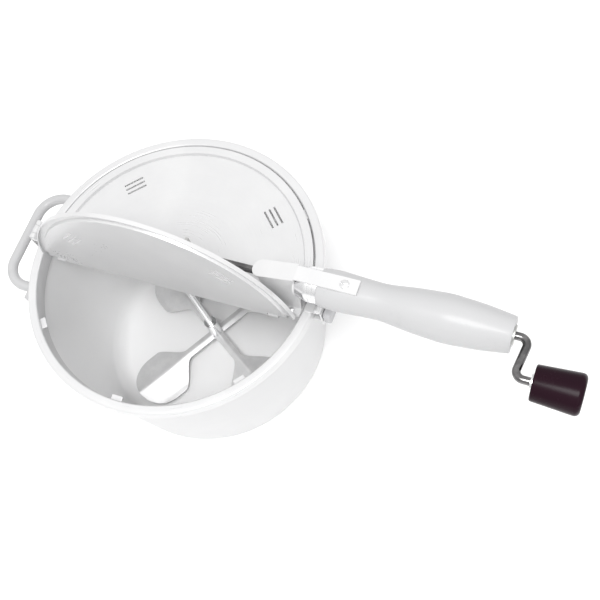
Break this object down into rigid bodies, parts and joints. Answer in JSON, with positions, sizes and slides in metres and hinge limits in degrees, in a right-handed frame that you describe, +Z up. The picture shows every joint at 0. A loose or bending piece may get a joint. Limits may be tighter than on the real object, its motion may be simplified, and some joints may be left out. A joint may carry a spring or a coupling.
{
  "type": "hand-crank popcorn popper",
  "caption": "Stove-top pan with two half-moon lid doors, a long handle with a crank running through it, and a geared stirrer.",
  "frame": {"origin": "centre of the pan's flat underside", "axes": "+Z up along the pan's axis, +X along the long handle towards the crank"},
  "size_m": [0.4676, 0.24, 0.2395],
  "materials": {
    "spun_aluminium": "bright satin",
    "pale_grip": "soft satin",
    "latch_pad": "satin",
    "dark_knob": "gloss",
    "crank_steel": "polished",
    "gear_metal": "machined",
    "stirrer_steel": "bright",
    "bright_steel": "bright"
  },
  "bodies": {
    "pan_and_lid": {"pan_bowl": "spun_aluminium", "helper_handle_loop": "pale_grip", "helper_handle_lug_front": "bright_steel", "helper_handle_lug_rear": "bright_steel", "helper_handle_rivets": "bright_steel", "lid_ring": "spun_aluminium", "lid_crossbar": "spun_aluminium", "front_hinge_pin": "bright_steel", "rear_hinge_pin": "bright_steel", "handle_grip": "pale_grip", "handle_ferrule": "bright_steel", "handle_end_bush": "gear_metal", "handle_screw": "bright_steel", "handle_bracket": "bright_steel", "bracket_foot_rivets": "bright_steel", "gear_frame": "bright_steel", "shaft_bush": "gear_metal", "handle_side_latch_base": "bright_steel", "handle_side_latch_pin": "bright_steel", "far_side_latch_base": "bright_steel", "far_side_latch_pin": "bright_steel"},
    "crank": {"crank_rod": "crank_steel", "knob_washer": "crank_steel", "knob_push_nut": "crank_steel", "drive_bevel_gear": "gear_metal"},
    "knob": {"crank_knob": "dark_knob", "knob_plug": "dark_knob"},
    "stirrer": {"driven_bevel_gear": "gear_metal", "stirrer_shaft": "stirrer_steel", "shaft_collar": "stirrer_steel", "stirrer_hub": "stirrer_steel", "stirrer_blade_1": "stirrer_steel", "stirrer_blade_2": "stirrer_steel", "stirrer_blade_3": "stirrer_steel", "stirrer_blade_4": "stirrer_steel"},
    "front_door": {"front_door": "spun_aluminium", "front_door_tab": "spun_aluminium"},
    "rear_door": {"rear_door": "spun_aluminium"},
    "handle_side_latch": {"handle_side_latch_clip": "bright_steel", "handle_side_latch_pad": "latch_pad"},
    "far_side_latch": {"far_side_latch_clip": "bright_steel", "far_side_latch_pad": "latch_pad"}
  },
  "joints": [
    {"name": "stirrer_turn", "type": "hinge", "parent": "pan_and_lid", "child": "stirrer", "pos_m": [0, 0, 0], "axis": [0, 0, 1], "continuous": true},
    {"name": "crank_turn", "type": "hinge", "parent": "pan_and_lid", "child": "crank", "pos_m": [0, 0, 0.1789], "axis": [1, 0, 0], "continuous": true},
    {"name": "knob_spin", "type": "hinge", "parent": "crank", "child": "knob", "pos_m": [0.3, -0.0285, 0.1789], "axis": [1, 0, 0], "continuous": true},
    {"name": "front_door_hinge", "type": "hinge", "parent": "pan_and_lid", "child": "front_door", "pos_m": [0, -0.0153, 0.14325], "axis": [-1, 0, 0], "range_deg": [-92, 0]},
    {"name": "rear_door_hinge", "type": "hinge", "parent": "pan_and_lid", "child": "rear_door", "pos_m": [0, 0.0153, 0.14325], "axis": [1, 0, 0], "range_deg": [0, 92]},
    {"name": "handle_side_latch_hinge", "type": "hinge", "parent": "pan_and_lid", "child": "handle_side_latch", "pos_m": [0.1246, 0, 0.1477], "axis": [0, -1, 0], "range_deg": [0, 40]},
    {"name": "far_side_latch_hinge", "type": "hinge", "parent": "pan_and_lid", "child": "far_side_latch", "pos_m": [-0.1246, 0, 0.1477], "axis": [0, 1, 0], "range_deg": [0, 40]}
  ],
  "couplings": [
    {"joint": "crank_turn", "follows": "stirrer_turn", "ratio": 1.5}
  ]
}
